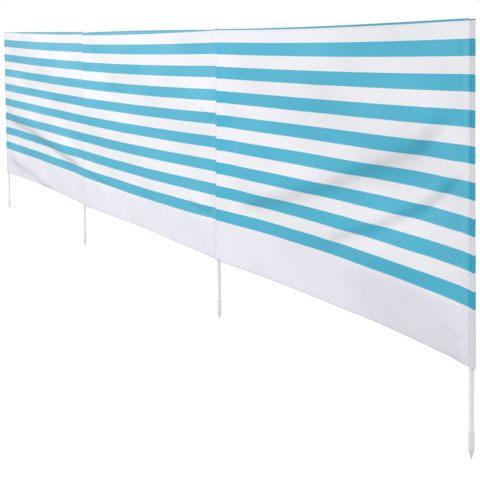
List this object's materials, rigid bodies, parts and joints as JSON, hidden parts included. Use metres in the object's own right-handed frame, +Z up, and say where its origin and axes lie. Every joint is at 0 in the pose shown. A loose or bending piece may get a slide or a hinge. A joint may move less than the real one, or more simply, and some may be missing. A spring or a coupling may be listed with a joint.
{
  "type": "beach windbreak",
  "caption": "Upright striped cloth wall in three bays, carried on slim round poles with push-in ground spikes, with a plain skirt along its lower edge.",
  "frame": {"origin": "centre of the blunt end of the left pole's spike, at the lowest level of the part", "axes": "+X along the wall from the left pole to the right pole, +Y out of the back of the cloth, -Y out of its front, +Z up along the poles"},
  "size_m": [5.0164, 0.0523, 1.0096],
  "materials": {
    "pole_paint": "satin white powder coat on thin steel tube",
    "white_plastic": "satin moulded white plastic",
    "striped_cloth": "woven polyester with level light blue and white stripes",
    "white_cloth": "plain white woven polyester"
  },
  "bodies": {
    "root": {"pole_1": "pole_paint", "spike_1": "white_plastic", "pole_cap_1": "white_plastic", "pole_2": "pole_paint", "spike_2": "white_plastic", "pole_cap_2": "white_plastic", "pole_3": "pole_paint", "spike_3": "white_plastic", "pole_cap_3": "white_plastic", "pole_4": "pole_paint", "spike_4": "white_plastic", "pole_cap_4": "white_plastic", "striped_panel_1": "striped_cloth", "skirt_panel_1": "white_cloth", "top_hem_1": "striped_cloth", "bottom_hem_1": "white_cloth", "striped_panel_2": "striped_cloth", "skirt_panel_2": "white_cloth", "top_hem_2": "striped_cloth", "bottom_hem_2": "white_cloth", "striped_panel_3": "striped_cloth", "skirt_panel_3": "white_cloth", "top_hem_3": "striped_cloth", "bottom_hem_3": "white_cloth", "pole_pocket_2": "white_cloth", "pole_pocket_3": "white_cloth", "striped_sleeve_left": "striped_cloth", "skirt_sleeve_left": "white_cloth", "striped_sleeve_right": "striped_cloth", "skirt_sleeve_right": "white_cloth"}
  },
  "joints": []
}
